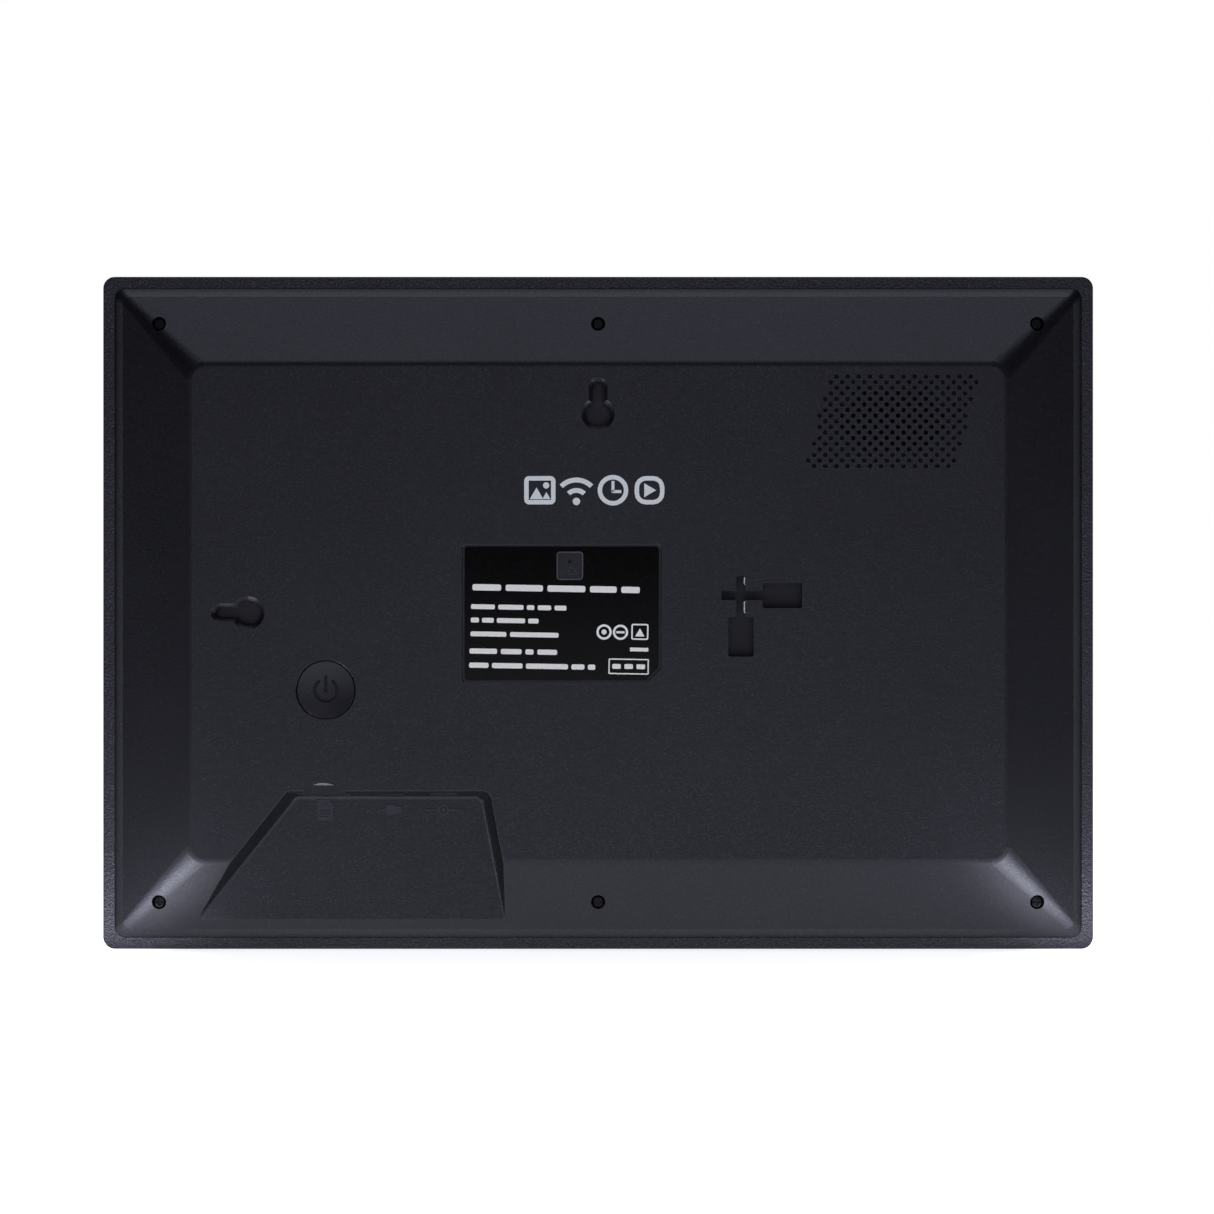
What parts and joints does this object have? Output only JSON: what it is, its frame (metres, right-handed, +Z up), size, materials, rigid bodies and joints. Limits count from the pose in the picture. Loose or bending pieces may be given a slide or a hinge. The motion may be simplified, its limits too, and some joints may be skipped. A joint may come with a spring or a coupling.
{
  "type": "digital photo frame",
  "caption": "Landscape touch-screen photo frame with a sloped rear cover, connector pocket, wall keyholes, speaker grille, power button and a keyed stand socket.",
  "frame": {"origin": "middle of the bounding box's lowest face, under the frame standing on its long edge", "axes": "+Z up, -Y out of the screen, +Y out of the rear cover, +X to the left seen from behind"},
  "size_m": [0.268, 0.023, 0.182],
  "materials": {
    "frame_shell": "coarse-grained black ABS moulding",
    "cover_shell": "fine-grained black ABS moulding",
    "button_cap": "fine-grained black ABS moulding",
    "socket_cup": "smooth black nylon moulding",
    "black_screw": "black oxide steel",
    "zinc_screw": "zinc-plated steel",
    "foam": "closed-cell foam",
    "touch_glass": "polished cover glass with a printed border",
    "clear_adhesive": "clear optical adhesive",
    "lcd_glass": "laminated display cell, unlit",
    "diffuser_film": "white diffuser film",
    "guide_acrylic": "moulded clear acrylic",
    "reflector_film": "white reflector film",
    "lamp_strip": "white laminate",
    "lamp": "phosphor-filled epoxy",
    "sheet_steel": "galvanised sheet steel",
    "flex_film": "polyimide flexible circuit",
    "connector_white": "moulded nylon",
    "connector_black": "moulded nylon",
    "board_laminate": "glass-epoxy with green solder mask",
    "chip_epoxy": "moulded epoxy",
    "brass_part": "turned brass",
    "shield_can": "tinned sheet steel",
    "shell_steel": "nickel-plated sheet steel",
    "ferrite": "sintered ferrite",
    "can_aluminium": "drawn aluminium can",
    "lead_sheath": "PVC insulation",
    "basket_steel": "black-painted pressed steel",
    "cone_paper": "pressed black paper pulp",
    "magnet_nickel": "nickel-plated magnet",
    "label_film": "glossy printed polyester film",
    "spring_steel": "bright spring steel",
    "pin_plating": "nickel-plated brass"
  },
  "bodies": {
    "frame": {"front_frame": "frame_shell", "rear_cover": "cover_shell", "cover_screws": "black_screw", "glass_tape": "foam", "touch_glass": "touch_glass", "glass_adhesive": "clear_adhesive", "lcd_cell": "lcd_glass", "diffuser_sheet": "diffuser_film", "light_guide": "guide_acrylic", "led_strip": "lamp_strip", "leds": "lamp", "reflector_sheet": "reflector_film", "lcd_tray": "sheet_steel", "lcd_brackets": "sheet_steel", "bracket_screws": "zinc_screw", "display_flex": "flex_film", "touch_flex": "flex_film", "display_connector": "connector_white", "touch_connector": "connector_white", "main_board": "board_laminate", "board_standoffs": "brass_part", "board_screws": "zinc_screw", "processor": "chip_epoxy", "memory_chips": "chip_epoxy", "storage_chip": "chip_epoxy", "wifi_module": "board_laminate", "wifi_shield": "shield_can", "antenna_plug": "brass_part", "antenna": "flex_film", "antenna_lead": "lead_sheath", "power_coils": "ferrite", "capacitors": "can_aluminium", "speaker_plug": "connector_white", "card_socket": "shell_steel", "usb_socket": "shell_steel", "usb_tongue": "connector_black", "dc_jack": "connector_black", "dc_pin": "pin_plating", "power_switch": "connector_black", "reset_switch": "connector_black", "speaker_gasket": "foam", "speaker_frame": "basket_steel", "speaker_cone": "cone_paper", "speaker_magnet": "magnet_nickel", "speaker_screws": "zinc_screw", "speaker_wires": "lead_sheath", "rating_label": "label_film", "stand_socket": "socket_cup", "stand_spring": "spring_steel", "socket_screws": "zinc_screw"},
    "power_button": {"power_button": "button_cap", "power_plunger": "connector_white"},
    "reset_plunger": {"reset_plunger": "connector_white"}
  },
  "joints": [
    {"name": "power_button_press", "type": "slide", "parent": "frame", "child": "power_button", "axis": [0, -1, 0], "range_m": [0, 0.0005], "stiffness_N_per_m": 1500},
    {"name": "reset_press", "type": "slide", "parent": "frame", "child": "reset_plunger", "axis": [0, -1, 0], "range_m": [0, 0.00025], "stiffness_N_per_m": 1500}
  ]
}
